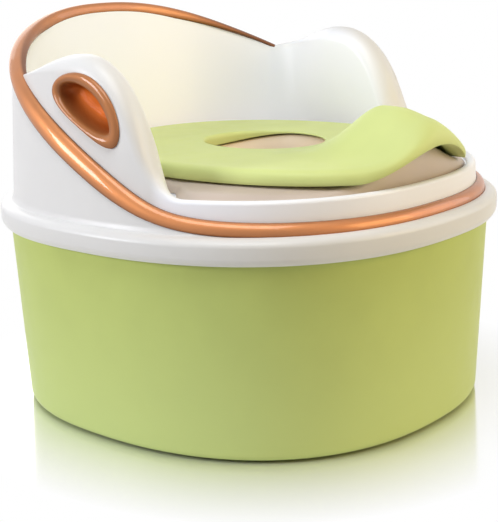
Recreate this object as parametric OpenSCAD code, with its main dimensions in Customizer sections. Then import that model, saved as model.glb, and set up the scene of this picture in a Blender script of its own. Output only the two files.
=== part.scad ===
// Potty training chair: a tub, a two-shell seat with a trim ring and two hand grips,
// a lift-out bowl and a lift-off seat ring with a splash guard.
// +Z is up, the front faces -Y, and the origin is on the floor under the middle of the rim.

/* [Rim plan] */
// Width over the rim
rim_w = 345; // [325:1:365]
// Reach of the rim in front of its widest line
rim_front = 191; // [184:1:200]
// Reach of the rim behind its widest line
rim_back = 165; // [160:1:175]
// Squareness of the plan, where 2 is an ellipse
plan_n = 2.33; // [2.2:0.01:2.5]

/* [Tub] */
// Height of the tub's upper edge above the floor
tub_top = 147.5; // [130:0.5:165]
// Inset of the tub's foot from the rim
tub_foot_inset = 12.5; // [10:0.5:18]
// Inset of the tub's upper edge from the rim
tub_top_inset = 6; // [5.6:0.1:7]
// Wall of the tub
tub_wall = 3; // [2:0.1:3.4]
// Radius of the tub's bottom edge
tub_edge_r = 5; // [4:0.5:8]

/* [Foot pads] */
// Diameter of a foot pad
foot_d = 22; // [14:1:30]
// Thickness of a foot pad
foot_t = 3; // [2.4:0.1:3.4]
// Amount a foot pad stands out of the tub
foot_proud = 1.2; // [0.8:0.1:1.6]
// Inset of a foot pad's centre from the rim
foot_inset = 44; // [36:1:60]

/* [Outer shell] */
// Wall of the outer shell
outer_wall = 3; // [2.2:0.1:3.4]
// Depth of the skirt below the shelf
skirt_drop = 11.8; // [9:0.1:16]
// Taper of the skirt's lower edge
skirt_taper = 2.5; // [1.5:0.1:2.8]
// Width of the rim's rounded shoulder
shoulder_w = 8.2; // [7.4:0.1:9]
// Height of the shoulder above the shelf
shoulder_rise = 3.1; // [2.6:0.1:4]
// Inset of the wall's foot from the rim
wall_inset = 9.5; // [9.2:0.1:10.5]
// Lean of the wall from the vertical, in degrees
wall_lean = 3; // [2:0.1:4]
// Depth of the rib that locates the seat inside the tub
rib_drop = 8; // [5:0.5:12]

/* [Trim ring] */
// Radius of the trim's half-round section
trim_r = 5.4; // [4.8:0.1:6]
// Slope of the trim along the sides, in degrees
trim_slope = 30.5; // [28:0.1:32]
// Extra height of the trim in the middle of the back
trim_crown = 5; // [2:0.5:8]
// Place along Y where the trim starts to climb
trim_start_y = -53; // [-60:1:-48]
// Softness of the start of the climb
trim_soft = 34; // [20:1:45]

/* [Inner shell] */
// Wall of the inner shell
inner_wall = 2.2; // [1.8:0.1:2.5]
// Height of the deck above the outer shell's shelf
deck_rise = 19.6; // [18:0.1:22]
// Height of the front lip above the deck
lip_h = 4.5; // [3.6:0.1:6]
// Width of the front lip
lip_w = 6; // [5.6:0.1:8]
// Height of the arms above the deck
arm_h = 92.5; // [86:0.5:98]
// Thickness of the arms
arm_w = 24; // [23:0.5:28]
// Place along Y of an arm's highest point
arm_apex_y = 19; // [14:1:24]
// Reach of an arm in front of its highest point
arm_reach = 64; // [58:1:68]
// Inset of the inner wall's foot at the deck
deck_inset = 46; // [44:0.5:47]

/* [Hand grips] */
// Length of a grip
grip_l = 67; // [60:0.5:68]
// Width of a grip
grip_w = 35; // [31:0.5:36]
// Bow of the grip's middle line
grip_bow = 3.8; // [2:0.1:4.5]
// Turn of the grip from the level, in degrees
grip_turn = 36; // [32:0.5:40]
// Width of the grip's bullnose border
grip_border = 8; // [7.4:0.1:8.4]
// Depth of the finger pocket behind the arm's face
grip_depth = 15; // [10:0.5:16]

/* [Bowl] */
// Inset of the deck's opening from the rim, at the sides
well_side = 72.5; // [71.5:0.5:76]
// Inset of the deck's opening from the rim, at the front
well_front = 32; // [31:0.5:36]
// Inset of the deck's opening from the rim, at the back
well_back = 74; // [73:0.5:78]
// Depth of the bowl below the deck
bowl_depth = 118; // [90:1:130]
// Wall of the bowl
bowl_wall = 2.6; // [2:0.1:3]
// Narrowing of the bowl from its mouth to its floor
bowl_taper = 9.4; // [7:0.2:12]
// Narrowing of the bowl in its funnel mouth
bowl_funnel = 5; // [3:0.5:6]
// Height of the bowl's collar
collar_h = 8; // [7:0.1:10]
// Rise of the collar under the splash guard
collar_rise = 17; // [12:0.1:18]

/* [Seat ring] */
// Inset of the seat ring from the rim, at the sides
ring_side = 62.5; // [60.5:0.5:64.5]
// Inset of the seat ring from the rim, at the front
ring_tip = 9; // [5:0.5:14]
// Inset of the seat ring from the rim, at the back
ring_heel = 62; // [60:0.5:68]
// Height of the seat ring
ring_h = 9.8; // [8:0.1:12]
// Thickness of the seat
ring_t = 3; // [2.4:0.1:3.6]
// Crown of the seat around its opening
seat_crown = 1; // [0.5:0.1:1.5]
// Width of the seat's opening
hole_w = 82; // [74:1:92]
// Length of the seat's opening
hole_l = 94; // [86:1:104]
// Depth of the opening's edge below the seat, at the front
edge_front = 1.4; // [1.2:0.1:2]
// Depth of the opening's edge below the seat, at the back
edge_back = 8.4; // [6:0.1:8.6]
// Height of the splash guard above the seat
guard_h = 32; // [28:1:38]
// Half width of the splash guard
guard_half = 62; // [58:1:72]
// Rise of the arch under the splash guard
arch_h = 19.2; // [18:0.1:21]
// Half width of the arch
arch_half = 73; // [66:1:78]

/* [Hidden] */
// Gap between pieces that lift apart
rest_gap = 0.3;
// Gap between pieces that are fixed together
seat_gap = 0.2;
screw_d = 3.2;
screw_l = 13.1;
screw_head_d = 7;
screw_head_h = 2.4;
boss_d = 8.4;
boss_bore = screw_l;
pad_d = 7;
pad_t = 2;
pad_proud = 0.6;

wide_y = (rim_front - rim_back) / 2;
shelf_low = tub_top + rest_gap;
shelf_top = shelf_low + outer_wall - 0.4;
skirt_low = shelf_low - skirt_drop;
crest_z = shelf_top + shoulder_rise;
trim_front_z = crest_z - 0.6;
wall_foot_z = crest_z + 3;
deck_z = shelf_top + deck_rise;
lip_z = deck_z + lip_h;
arm_z = deck_z + arm_h;
collar_z = deck_z + rest_gap + collar_h;
ring_low = collar_z + rest_gap + pad_proud;
ring_top = ring_low + ring_h;
crown_z = ring_top + seat_crown;
// Distance of the trim's centre and of the arm's face behind the outer wall
trim_set = trim_r - 1;
face_set = trim_set + 0.3 + seat_gap;
// Seat ring and deck opening, set in from the rim
rim_tip_y = wide_y - rim_front;
rim_heel_y = wide_y + rim_back;
ring_y = wide_y - 33;
ring_w = rim_w - 2 * ring_side;
ring_front = ring_y - rim_tip_y - ring_tip;
ring_back = rim_heel_y - ring_heel - ring_y;
well_w = rim_w - 2 * well_side;
well_l = rim_front + rim_back - well_front - well_back;
well_y = (rim_tip_y + well_front + rim_heel_y - well_back) / 2;
hole_y = ring_y + 5;
// Screws in three pairs, each set in from the rim beside the lip or the arms
screw_y = [wide_y - 0.675 * rim_front, wide_y - 0.11 * rim_front, wide_y + 0.5 * rim_back];

green = [0.75, 0.82, 0.52];
pale_green = [0.84, 0.90, 0.62];
white = [0.95, 0.95, 0.94];
copper = [0.78, 0.48, 0.27];
beige = [0.80, 0.75, 0.69];
rubber = [0.25, 0.25, 0.25];
steel = [0.72, 0.73, 0.75];

GRIPS = ["right", "left"];
QUARTERS = [1, 2, 3, 4];

// Plan curves: a superellipse for the rim and another for the seat ring

function spow(v, p) = sign(v) * pow(abs(v), p);

// Point of the rim's plan at angle t, moved in by d
function plan(t, d) =
    let (reach = (sin(t) < 0 ? rim_front : rim_back) - d)
    [(rim_w / 2 - d) * spow(cos(t), 2 / plan_n), wide_y + reach * spow(sin(t), 2 / plan_n)];

// Angle at which the plan, moved in by d, reaches y
function angle_at(y, d) =
    let (reach = (y < wide_y ? rim_front : rim_back) - d)
    asin(spow((y - wide_y) / reach, plan_n / 2));

// Half width of the plan, moved in by d, at y
function half_width_at(y, d) =
    let (reach = (y < wide_y ? rim_front : rim_back) - d)
    (rim_w / 2 - d) * pow(1 - pow(abs(y - wide_y) / reach, plan_n), 1 / plan_n);

ring_n = 2.2;
// Point of the seat ring's plan at angle t, moved in by d
function oval(t, d) =
    let (reach = (sin(t) < 0 ? ring_front : ring_back) - d)
    [(ring_w / 2 - d) * spow(cos(t), 2 / ring_n), ring_y + reach * spow(sin(t), 2 / ring_n)];

well_n = 2.3;
// Point of the deck opening's plan at angle t, moved in by d
function well(t, d) =
    [(well_w / 2 - d) * spow(cos(t), 2 / well_n), well_y + (well_l / 2 - d) * spow(sin(t), 2 / well_n)];

// Point of the seat opening's plan at angle t, moved out by d
function hole(t, d) = [(hole_w / 2 + d) * cos(t), hole_y + (hole_l / 2 + d) * sin(t)];

// Depth of the seat opening's edge at angle t, deeper towards the back
function edge_depth(t) = mix(edge_front, edge_back, pow(max(0, sin(t)), 2));

function smooth(u) = let (v = min(1, max(0, u))) v * v * (3 - 2 * v);

// One where x is 0, fading to nothing at the half width; a higher power is slimmer
function bump(x, half, power) = abs(x) < half ? pow(cos(90 * x / half), power) : 0;

// Rise of the arch and of the guard at x, as shares of their heights
function arch(x) = bump(x, arch_half, 1.5);
function swell(x) = bump(x, guard_half, 3);

function mix(a, b, u) = a + (b - a) * u;

function bezier2(p, u) = mix(mix(p[0], p[1], u), mix(p[1], p[2], u), u);

function bezier3(p, u) = mix(bezier2([p[0], p[1], p[2]], u), bezier2([p[1], p[2], p[3]], u), u);

function at(xy, z) = [xy.x, xy.y, z];

// Solid between rings of points: closed joins the last ring to the first, otherwise both ends are capped
module skin(rings, closed) {
    count = len(rings[0]);
    rows = len(rings);
    side = [for (j = [0 : rows - (closed ? 1 : 2)]) for (i = [0 : count - 1])
        let (a = j * count, b = ((j + 1) % rows) * count, k = (i + 1) % count)
        each [[a + i, b + i, b + k], [a + i, b + k, a + k]]];
    low_cap = [for (i = [0 : count - 1]) i];
    high_cap = [for (i = [count - 1 : -1 : 0]) (rows - 1) * count + i];
    polyhedron([for (r = rings) each r], closed ? side : concat(side, [low_cap, high_cap]), convexity = 8);
}

function transpose(m) = [for (j = [0 : len(m[0]) - 1]) [for (row = m) row[j]]];

// Trim line and walls of the seat

function wall_at(z) = wall_inset + tan(wall_lean) * (z - wall_foot_z);

function face_at(z) = wall_at(z) + face_set;

// Height of the trim's centre: level at the front, a steady climb along the sides, a crown at the back
function trim_z(y) =
    let (run = y - trim_start_y, back = max(0, (y - wide_y) / (rim_back - 20)))
    trim_front_z + tan(trim_slope) * (run + sqrt(run * run + trim_soft * trim_soft)) / 2
        + trim_crown * pow(back, 3 * plan_n);

// Place along Y of the trim at angle t, on the leaning wall
function trim_y(t) =
    let (upright_z = trim_z(plan(t, wall_inset + trim_set).y))
    plan(t, wall_at(upright_z) + trim_set).y;

// Arm's outline seen from the side: a fillet off the lip, an elliptic front and a long rear slope
back_y = 92;
arm_sink = 3.5;
arm_back = [back_y, trim_z(back_y) + arm_sink];
fillet_turn = 14;
function arm_ellipse(a) = [arm_apex_y - arm_reach * cos(a), mix(lip_z, arm_z, sin(a))];
arm_foot = arm_ellipse(fillet_turn);
arm_fillet = [[arm_foot.x - 13, lip_z], [arm_foot.x - 4, lip_z], arm_foot];
arm_rear = [[arm_apex_y, arm_z], [arm_apex_y + 27, arm_z], [arm_apex_y + 34, arm_z - 11], arm_back];

// Station: angle, height of the inner shell's edge, its width, slope of the edge and inner share of the trim
function station(yz, w, slope) = [angle_at(yz.x, face_at(yz.y)), yz.y, w, slope, 0];

// Share of the trim's inner half: none beside the arms, the whole at the back
function trim_inner(s) = mix(0.05, 1, s[4]);

function slope_of(d) = abs(d.y) / max(abs(d.x), 0.01);

steps_front = 9;
steps_fillet = 3;
steps_arm = 8;
steps_rear = 7;
steps_back = 9;
front_angle = angle_at(arm_fillet[0].x, face_at(lip_z));
back_angle = angle_at(back_y, face_at(arm_back.y));

function edge_w(z) = mix(lip_w, arm_w, smooth((z - lip_z) / (0.45 * (arm_z - lip_z))));

half_stations = concat(
    [for (i = [0 : steps_front - 1]) [mix(-90, front_angle, i / steps_front), lip_z, lip_w, 0, 0]],
    [for (i = [0 : steps_fillet - 1])
        let (u = i / steps_fillet, p = bezier2(arm_fillet, u), q = bezier2(arm_fillet, u + 0.01))
        station(p, edge_w(p.y), slope_of(q - p))],
    [for (i = [0 : steps_arm - 1])
        let (a = mix(fillet_turn, 90, i / steps_arm), p = arm_ellipse(a), q = arm_ellipse(a + 0.5))
        station(p, edge_w(p.y), slope_of(q - p))],
    [for (i = [0 : steps_rear - 1])
        let (u = i / steps_rear, p = bezier3(arm_rear, u), q = bezier3(arm_rear, u + 0.01))
        station(p, mix(arm_w, lip_w, smooth(u)), slope_of(q - p))],
    [for (i = [0 : steps_back])
        let (
            t = mix(back_angle, 90, i / steps_back),
            share = smooth(1.4 * i / steps_back),
            z = trim_z(trim_y(t)))
        [t, z + mix(arm_sink, 0.5, share), lip_w, 0, share]]);
half_count = len(half_stations);
stations = concat(half_stations,
    [for (i = [half_count - 2 : -1 : 1])
        let (s = half_stations[i]) [180 - s[0], s[1], s[2], s[3], s[4]]]);

function trim_z_at(s) = trim_z(trim_y(s[0]));

// Stretch of the trim's upright section where its path climbs
function trim_stretch(s) =
    let (a = plan(s[0] - 2, wall_inset), b = plan(s[0] + 2, wall_inset))
    sqrt(1 + pow((trim_z(b.y) - trim_z(a.y)) / norm(b - a), 2));

// Tub

tub_low = foot_proud;
tub_floor = tub_low + tub_wall;
foot_recess = foot_t - foot_proud;

function tub_inset(z) = mix(tub_foot_inset, tub_top_inset, (z - tub_low) / (tub_top - tub_low));

tub_steps = 48;
tub_angles = [for (i = [0 : tub_steps - 1]) 360 * i / tub_steps];

function tub_ring(d, z) = [for (t = tub_angles) at(plan(t, d), z)];

module base_tub() {
    lip_r = 1;
    inner_r = tub_edge_r - tub_wall + 3;
    floor_inset = tub_inset(tub_floor) + tub_wall;
    outside = [for (a = [90 : -30 : 0])
        tub_ring(tub_inset(tub_low + tub_edge_r * (1 - sin(a))) + tub_edge_r * (1 - cos(a)),
            tub_low + tub_edge_r * (1 - sin(a)))];
    lip = [
        tub_ring(tub_inset(tub_top - lip_r), tub_top - lip_r),
        tub_ring(tub_inset(tub_top) + lip_r, tub_top),
        tub_ring(tub_inset(tub_top) + tub_wall, tub_top)];
    inside = [for (a = [0 : 30 : 90])
        tub_ring(floor_inset + inner_r * (1 - cos(a)), tub_floor + inner_r * (1 - sin(a)))];
    color(green)
        difference() {
            skin(concat(outside, lip, inside), false);
            for (i = QUARTERS)
                translate(at(foot_place(i), tub_low - 1))
                    cylinder(d = foot_d + 2 * seat_gap, h = foot_recess + 1 + seat_gap, $fn = 48);
        }
}

function foot_place(i) = plan(90 * i - 45, foot_inset);

module foot_pad(i) {
    round_r = 0.8;
    color(rubber)
        translate(at(foot_place(i), 0))
            rotate_extrude($fn = 48)
                polygon([[0, 0], [foot_d / 2 - round_r, 0], [foot_d / 2, round_r],
                    [foot_d / 2, foot_t], [0, foot_t]]);
}

// Outer shell: skirt, rounded shoulder, leaning wall up to the trim, and the shelf that rests on the tub

module seat_outer_shell() {
    shoulder_z = crest_z - 5.5;
    rib_inset = tub_inset(tub_top - rib_drop) + tub_wall + 1;
    rib_t = 2;
    sections = [for (s = stations)
        let (
            t = s[0],
            edge_z = trim_z_at(s) - (trim_r / 2 + seat_gap) * trim_stretch(s),
            foot_z = min(wall_foot_z, edge_z - 0.3))
        concat(
            [at(plan(t, skirt_taper + outer_wall - 0.2), skirt_low),
                at(plan(t, skirt_taper), skirt_low),
                at(plan(t, 0.3 * skirt_taper), skirt_low + 2.2),
                at(plan(t, 0), skirt_low + 5),
                at(plan(t, 0), shoulder_z)],
            [for (a = [30 : 30 : 90])
                at(plan(t, shoulder_w * (1 - cos(a))), mix(shoulder_z, crest_z, sin(a)))],
            [at(plan(t, wall_at(foot_z)), foot_z),
                at(plan(t, wall_at(edge_z) + 0.3), edge_z),
                at(plan(t, wall_at(edge_z) + outer_wall), edge_z),
                at(plan(t, wall_at(shelf_top) + outer_wall), shelf_top),
                at(well(t, -5), shelf_top),
                at(well(t, -5), shelf_low),
                at(plan(t, rib_inset + rib_t), shelf_low),
                at(plan(t, rib_inset + rib_t), shelf_low - rib_drop),
                at(plan(t, rib_inset), shelf_low - rib_drop),
                at(plan(t, rib_inset), shelf_low),
                at(plan(t, outer_wall + 0.2), shelf_low),
                at(plan(t, outer_wall + 0.2), skirt_low + 5)])];
    color(white)
        difference() {
            skin(transpose(sections), true);
            screw_places()
                translate([0, 0, shelf_low - 1])
                    cylinder(d = screw_d + 0.8, h = shelf_top - shelf_low + 2, $fn = 24);
        }
}

screw_clear = boss_d / 2 + 3;
screw_inset = [
    face_at(lip_z) + lip_w + screw_clear + 2,
    deck_inset + screw_clear,
    deck_inset + screw_clear + 2];

module screw_places() {
    for (i = [0 : len(screw_y) - 1])
        for (side = [-1, 1])
            translate([side * half_width_at(screw_y[i], screw_inset[i]), screw_y[i], 0])
                children();
}

// Trim: a half-round strip against the inner shell's leg, rounding over the edge of the back

module trim_ring() {
    sections = [for (s = stations)
        let (
            t = s[0],
            z = trim_z_at(s),
            k = trim_stretch(s),
            inner = trim_inner(s))
        [for (a = [-30, 0, 30, 60, 90, 120, 150, 180, 210])
            at(plan(t, wall_at(z) + trim_set - trim_r * cos(a) * (a > 90 ? inner : 1)), z + trim_r * k * sin(a))]];
    color(copper)
        skin(transpose(sections), true);
}

// Inner shell: front lip, deck, hollow arms and the inside of the back

module seat_inner_shell() {
    opening_drop = 8;
    fillet = 4;
    sections = [for (s = stations)
        let (
            t = s[0],
            h = s[1],
            w = s[2],
            low = max(trim_z_at(s) - 8, shelf_top + 0.5),
            round_z = min(w / 2 * sqrt(1 + s[3] * s[3]), 0.6 * (h - deck_z)),
            leg = trim_r * (trim_inner(s) - 0.05),
            top = face_at(h) + leg,
            share = smooth((w - lip_w) / 4 + s[4] + (h - lip_z) / 30),
            foot = max(mix(top + lip_w, deck_inset, share), top + w),
            bend = min(fillet, 0.3 * (h - deck_z)),
            knee = h - round_z,
            knee_inset = mix(top + w, foot, round_z / (h - deck_z)),
            bend_inset = mix(foot, top + w, bend / (h - deck_z)),
            arc = [30, 60, 90, 120, 150])
        concat(
            [at(plan(t, face_at(low) + leg), low),
                at(plan(t, face_at(knee) + leg), knee)],
            [for (a = arc)
                at(plan(t, top + w / 2 * (1 - cos(a))), knee + round_z * sin(a))],
            [at(plan(t, knee_inset), knee),
                at(plan(t, bend_inset), deck_z + bend),
                at(plan(t, foot + 0.3 * bend), deck_z + 0.3 * bend),
                at(plan(t, foot + bend), deck_z),
                at(well(t, -0.8), deck_z),
                at(well(t, 0), deck_z - 0.8),
                at(well(t, 0), deck_z - opening_drop),
                at(well(t, -inner_wall), deck_z - opening_drop),
                at(well(t, -inner_wall), deck_z - inner_wall),
                at(plan(t, foot + bend - 0.5 * inner_wall), deck_z - inner_wall),
                at(plan(t, bend_inset - inner_wall), deck_z + bend - inner_wall),
                at(plan(t, knee_inset - inner_wall), knee)],
            [for (a = [150, 90, 30])
                at(plan(t, top + w / 2 - (w / 2 - inner_wall) * cos(a)), knee + (round_z - inner_wall) * sin(a))],
            [at(plan(t, face_at(knee) + leg + inner_wall), knee),
                at(plan(t, face_at(low) + leg + inner_wall), low)])];
    color(white) {
        difference() {
            skin(transpose(sections), true);
            for (side = [-1, 1])
                grip_window(side);
        }
        boss_low = shelf_top + seat_gap;
        screw_places()
            translate([0, 0, boss_low])
                difference() {
                    cylinder(d = boss_d, h = deck_z - boss_low - 1, $fn = 32);
                    translate([0, 0, -1])
                        cylinder(d = screw_d + seat_gap, h = boss_bore, $fn = 24);
                }
    }
}

// Hand grips: blind egg-shaped pockets with a bullnose border, set in the arms' outer faces

grip_middle = [6.5, arm_z - 33.5];
grip_steps = 24;

// Egg outline on the arm's face, moved in by d: two half ellipses on a bowed middle line
function egg(a, d) =
    let (
        reach = (cos(a) > 0 ? 0.42 : 0.58) * grip_l - d,
        u = 3 + reach * cos(a),
        v = (grip_w / 2 - d) * sin(a) + grip_bow - pow(u + 8, 2) / 150)
    [grip_middle.x + u * cos(grip_turn) - v * sin(grip_turn), grip_middle.y + u * sin(grip_turn) + v * cos(grip_turn)];

// Ring of the egg outline, moved in by d and standing out of the arm's face
function grip_ring(side, d, out) =
    [for (i = [0 : grip_steps - 1])
        let (p = egg(side * 360 * i / grip_steps, d))
        [side * (half_width_at(p.x, face_at(p.y)) + out), p.x, p.y]];

grip_body = grip_border - 1.6;

module grip_window(side) {
    skin([grip_ring(side, grip_body - 0.6, -1.5 * inner_wall - 1), grip_ring(side, grip_body - 0.6, 3)], false);
}

module hand_grip(side) {
    wall = 1.8;
    color(copper)
        skin([
            grip_ring(side, grip_body + 6, -grip_depth - wall),
            grip_ring(side, grip_body + 1.6, -grip_depth + 2),
            grip_ring(side, grip_body, -3),
            grip_ring(side, grip_body, seat_gap),
            grip_ring(side, 0, seat_gap),
            grip_ring(side, 0.6, 1.6),
            grip_ring(side, 2.6, 3),
            grip_ring(side, 5.2, 2.6),
            grip_ring(side, grip_border - 0.6, 0.8),
            grip_ring(side, grip_border, -2),
            grip_ring(side, grip_border + 1.6, -grip_depth + 3),
            grip_ring(side, grip_body + 0.8 * grip_border, -grip_depth)], false);
}

module shell_screws() {
    head_z = shelf_low - screw_head_h;
    color(steel)
        screw_places()
            translate([0, 0, head_z])
                rotate_extrude($fn = 32)
                    polygon([[0, 0], [0.3 * screw_head_d, 0], [screw_head_d / 2, 0.6 * screw_head_h],
                        [screw_head_d / 2, screw_head_h], [screw_d / 2, screw_head_h],
                        [screw_d / 2, screw_head_h + screw_l - screw_d / 2], [0, screw_head_h + screw_l]]);
}

// Bowl: a tray that hangs by its collar on the deck, with a deep oval pot under the seat's opening

bowl_steps = 48;
bowl_angles = [for (i = [0 : bowl_steps - 1]) 360 * i / bowl_steps];

// Lift of the collar under the splash guard
function collar_lift(t, x) = sin(t) < 0 ? collar_rise * arch(x) : 0;

// Collar's plan, moved in by d: along the lip at the front, inside the arms at the sides and back
function collar(t, d) =
    let (
        front = face_at(lip_z) + lip_w + 1,
        sides = deck_inset + 7,
        share = smooth((asin(sin(t)) + 27) / 8))
    plan(t, mix(front, sides, share) + d);

// Collar's upper edge: under the seat ring, and never in front of the collar's foot
function collar_edge(t, d) =
    let (a = oval(t, d + 1.5), b = collar(t, d + 3))
    [sign(a.x) * min(abs(a.x), abs(b.x)), a.y < 0 ? max(a.y, b.y) : min(a.y, b.y)];

function lifted(rim, z) = [for (i = [0 : bowl_steps - 1]) at(rim[i], z + collar_lift(bowl_angles[i], rim[i].x))];

function level(rim, z) = [for (p = rim) at(p, z)];

module bowl() {
    low = deck_z - bowl_depth;
    base_z = deck_z + rest_gap;
    tray_z = collar_z - 1;
    rib_z = deck_z - 6;
    rib = 2;
    mouth = 2;
    lip_gap = 1.2;
    fillet = 8;
    well_at = function (d) [for (t = bowl_angles) well(t, d)];
    foot_at = function (d) [for (t = bowl_angles) collar(t, d)];
    edge_at = function (d) [for (t = bowl_angles) collar_edge(t, d)];
    pot_at = function (d) [for (t = bowl_angles) hole(t, mouth + d)];
    lip_at = function (d, drop) [for (t = bowl_angles)
        at(hole(t, mouth + d), crown_z - edge_depth(t) - lip_gap - drop)];
    color(beige)
        skin([
            level(pot_at(-bowl_taper - fillet), low),
            level(pot_at(-bowl_taper - 0.3 * fillet), low + 0.3 * fillet),
            level(pot_at(bowl_wall - bowl_taper), low + fillet),
            level(pot_at(bowl_wall - bowl_funnel), deck_z - 2),
            level(pot_at(bowl_wall + 1), tray_z - bowl_wall),
            level(well_at(rib + bowl_wall), tray_z - bowl_wall),
            level(well_at(rib + bowl_wall), rib_z),
            level(well_at(rib), rib_z),
            lifted(well_at(rib - 0.4), collar_z - bowl_wall),
            lifted(edge_at(bowl_wall), collar_z - bowl_wall),
            level(foot_at(bowl_wall), base_z),
            level(foot_at(0), base_z),
            lifted(edge_at(0), collar_z - 1.2),
            lifted(edge_at(1.2), collar_z),
            lifted(edge_at(14), collar_z),
            level(pot_at(16), tray_z),
            lip_at(bowl_wall + 1, 3),
            lip_at(bowl_wall - 0.6, 0),
            lip_at(0.6, 0),
            lip_at(0, 1),
            level(pot_at(-bowl_funnel), deck_z),
            level(pot_at(-bowl_taper), low + bowl_wall + fillet),
            level(pot_at(-bowl_taper - 0.5 * fillet), low + bowl_wall + 0.3 * fillet),
            level(pot_at(-bowl_taper - fillet), low + bowl_wall)], false);
}

// Seat ring: a shallow oval seat whose front swells into the splash guard

ring_steps = 48;
ring_angles = [for (i = [0 : ring_steps - 1]) 360 * i / ring_steps];

// Share of the guard's height at q, from the outer edge (0) over the ridge to the opening (1)
ridge_q = 0.38;
fall_q = 0.44;
fall_w = 0.44;
function guard_share(q) =
    q < ridge_q ? mix(arch_h / guard_h, 1, sqrt(1 - pow(1 - q / ridge_q, 2))) : 1 - smooth((q - fall_q) / fall_w);

// Ring of points at share q of the way from the outer edge to the opening, deeper by share dip at its edge
function seat_loop(q, z, lift, dip = 0) =
    [for (t = ring_angles)
        let (
            p = mix(oval(t, 0), hole(t, 0), q),
            front = sin(t) < 0 ? 1 : 0,
            edge = arch(p.x) * arch_h,
            guard = swell(p.x) * guard_h * guard_share(q))
        at(p, z + front * (lift == 0 ? edge : mix(edge, guard, lift)) - dip * edge_depth(t))];

module seat_ring() {
    rim_q = 0.13;
    under_z = ring_top - ring_t;
    loops = [
        seat_loop(0.006, ring_low, 0),
        seat_loop(0, ring_low + 0.25 * ring_h, 0.2),
        seat_loop(0.012, ring_low + 0.6 * ring_h, 0.7),
        seat_loop(0.045, ring_low + 0.88 * ring_h, 1),
        seat_loop(0.1, ring_top, 1),
        seat_loop(0.18, ring_top, 1),
        seat_loop(0.28, ring_top + 0.3 * seat_crown, 1),
        seat_loop(ridge_q, ring_top + 0.5 * seat_crown, 1),
        seat_loop(0.48, ring_top + 0.7 * seat_crown, 1),
        seat_loop(0.58, ring_top + 0.9 * seat_crown, 1),
        seat_loop(0.68, crown_z, 1),
        seat_loop(0.78, crown_z, 1),
        seat_loop(0.88, crown_z, 1),
        seat_loop(0.98, crown_z, 1, 0.1),
        seat_loop(1, crown_z, 1, 0.5),
        seat_loop(1, crown_z, 1, 1),
        seat_loop(0.95, crown_z, 1, 1),
        seat_loop(0.88, crown_z - ring_t, 1),
        seat_loop(0.73, crown_z - ring_t, 1),
        seat_loop(0.58, under_z + 0.9 * seat_crown, 1),
        seat_loop(0.46, under_z + 0.6 * seat_crown, 1),
        seat_loop(0.34, under_z + 0.4 * seat_crown, 1),
        seat_loop(0.18, under_z, 0.9),
        seat_loop(rim_q, ring_low, 0)];
    color(pale_green)
        difference() {
            skin(loops, true);
            for (i = QUARTERS)
                translate(at(pad_place(i), ring_low - 1))
                    cylinder(d = pad_d + 2 * seat_gap, h = pad_t - pad_proud + 1 + seat_gap, $fn = 32);
        }
}

function pad_place(i) = oval(i < 3 ? 35 + 110 * (i - 1) : 180 + 25 + 130 * (i - 3), 6.5);

module ring_pad(i) {
    color(rubber)
        translate(at(pad_place(i), ring_low - pad_proud))
            cylinder(d = pad_d, h = pad_t, $fn = 32);
}

base_tub();
seat_outer_shell();
seat_inner_shell();
trim_ring();
shell_screws();
bowl();
seat_ring();
hand_grip(-1);  // hand_grip_right
hand_grip(1);  // hand_grip_left
for (i = QUARTERS) {
    foot_pad(i);
    ring_pad(i);
}
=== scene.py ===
"""Potty training chair: smooth moulded pieces, finishes and a plain studio around the packed frame."""
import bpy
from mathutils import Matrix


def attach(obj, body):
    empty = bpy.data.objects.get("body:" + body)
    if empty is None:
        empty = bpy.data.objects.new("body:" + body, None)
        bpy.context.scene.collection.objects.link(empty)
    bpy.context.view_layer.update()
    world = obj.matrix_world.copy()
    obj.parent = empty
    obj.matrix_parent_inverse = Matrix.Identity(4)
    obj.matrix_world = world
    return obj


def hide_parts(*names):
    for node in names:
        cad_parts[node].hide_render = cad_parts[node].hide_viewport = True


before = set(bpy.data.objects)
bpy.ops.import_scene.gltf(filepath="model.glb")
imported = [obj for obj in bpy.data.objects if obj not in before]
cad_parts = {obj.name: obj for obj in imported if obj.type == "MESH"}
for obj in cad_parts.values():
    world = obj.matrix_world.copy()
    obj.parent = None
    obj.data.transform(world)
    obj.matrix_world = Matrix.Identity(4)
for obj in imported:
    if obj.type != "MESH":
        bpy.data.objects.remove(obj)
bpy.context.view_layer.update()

from types import SimpleNamespace

import bmesh
import bpy
import numpy as np
from bpy.props import FloatProperty, FloatVectorProperty, PointerProperty
from bpy.types import Operator, Panel, PropertyGroup
from mathutils import Matrix, Vector

bl_info = {
    "name": "Potty chair",
    "version": (1, 0, 0),
    "blender": (4, 5, 0),
    "location": "View3D > Sidebar > Potty chair",
    "description": "Builds the moulded pieces of a potty training chair and their finishes",
    "category": "Object",
}

MM = 0.001
ROUND = 6      # points along a rounded corner
AROUND = 288   # points around an oval piece
HALF = SimpleNamespace(front=56, fillet=22, arm=60, rear=48, back=64)   # stations along half the seat


# Sizes and colours

def length(name, mm, note, least=0.0):
    """A length, or a place along an axis, given in millimetres and kept in metres."""
    return FloatProperty(name=name, description=note, default=mm * MM, min=least, precision=4, unit="LENGTH")


def angle(name, degrees, note):
    """An angle property, given in degrees."""
    return FloatProperty(name=name, description=note, default=np.radians(degrees), subtype="ANGLE")


def power(name, value, note):
    """A plain number: the power of a curve or of a light."""
    return FloatProperty(name=name, description=note, default=value, min=0.0)


def colour(name, rgb, note):
    """A linear colour property."""
    return FloatVectorProperty(name=name, description=note, default=rgb, min=0.0, max=1.0, subtype="COLOR")


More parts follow.
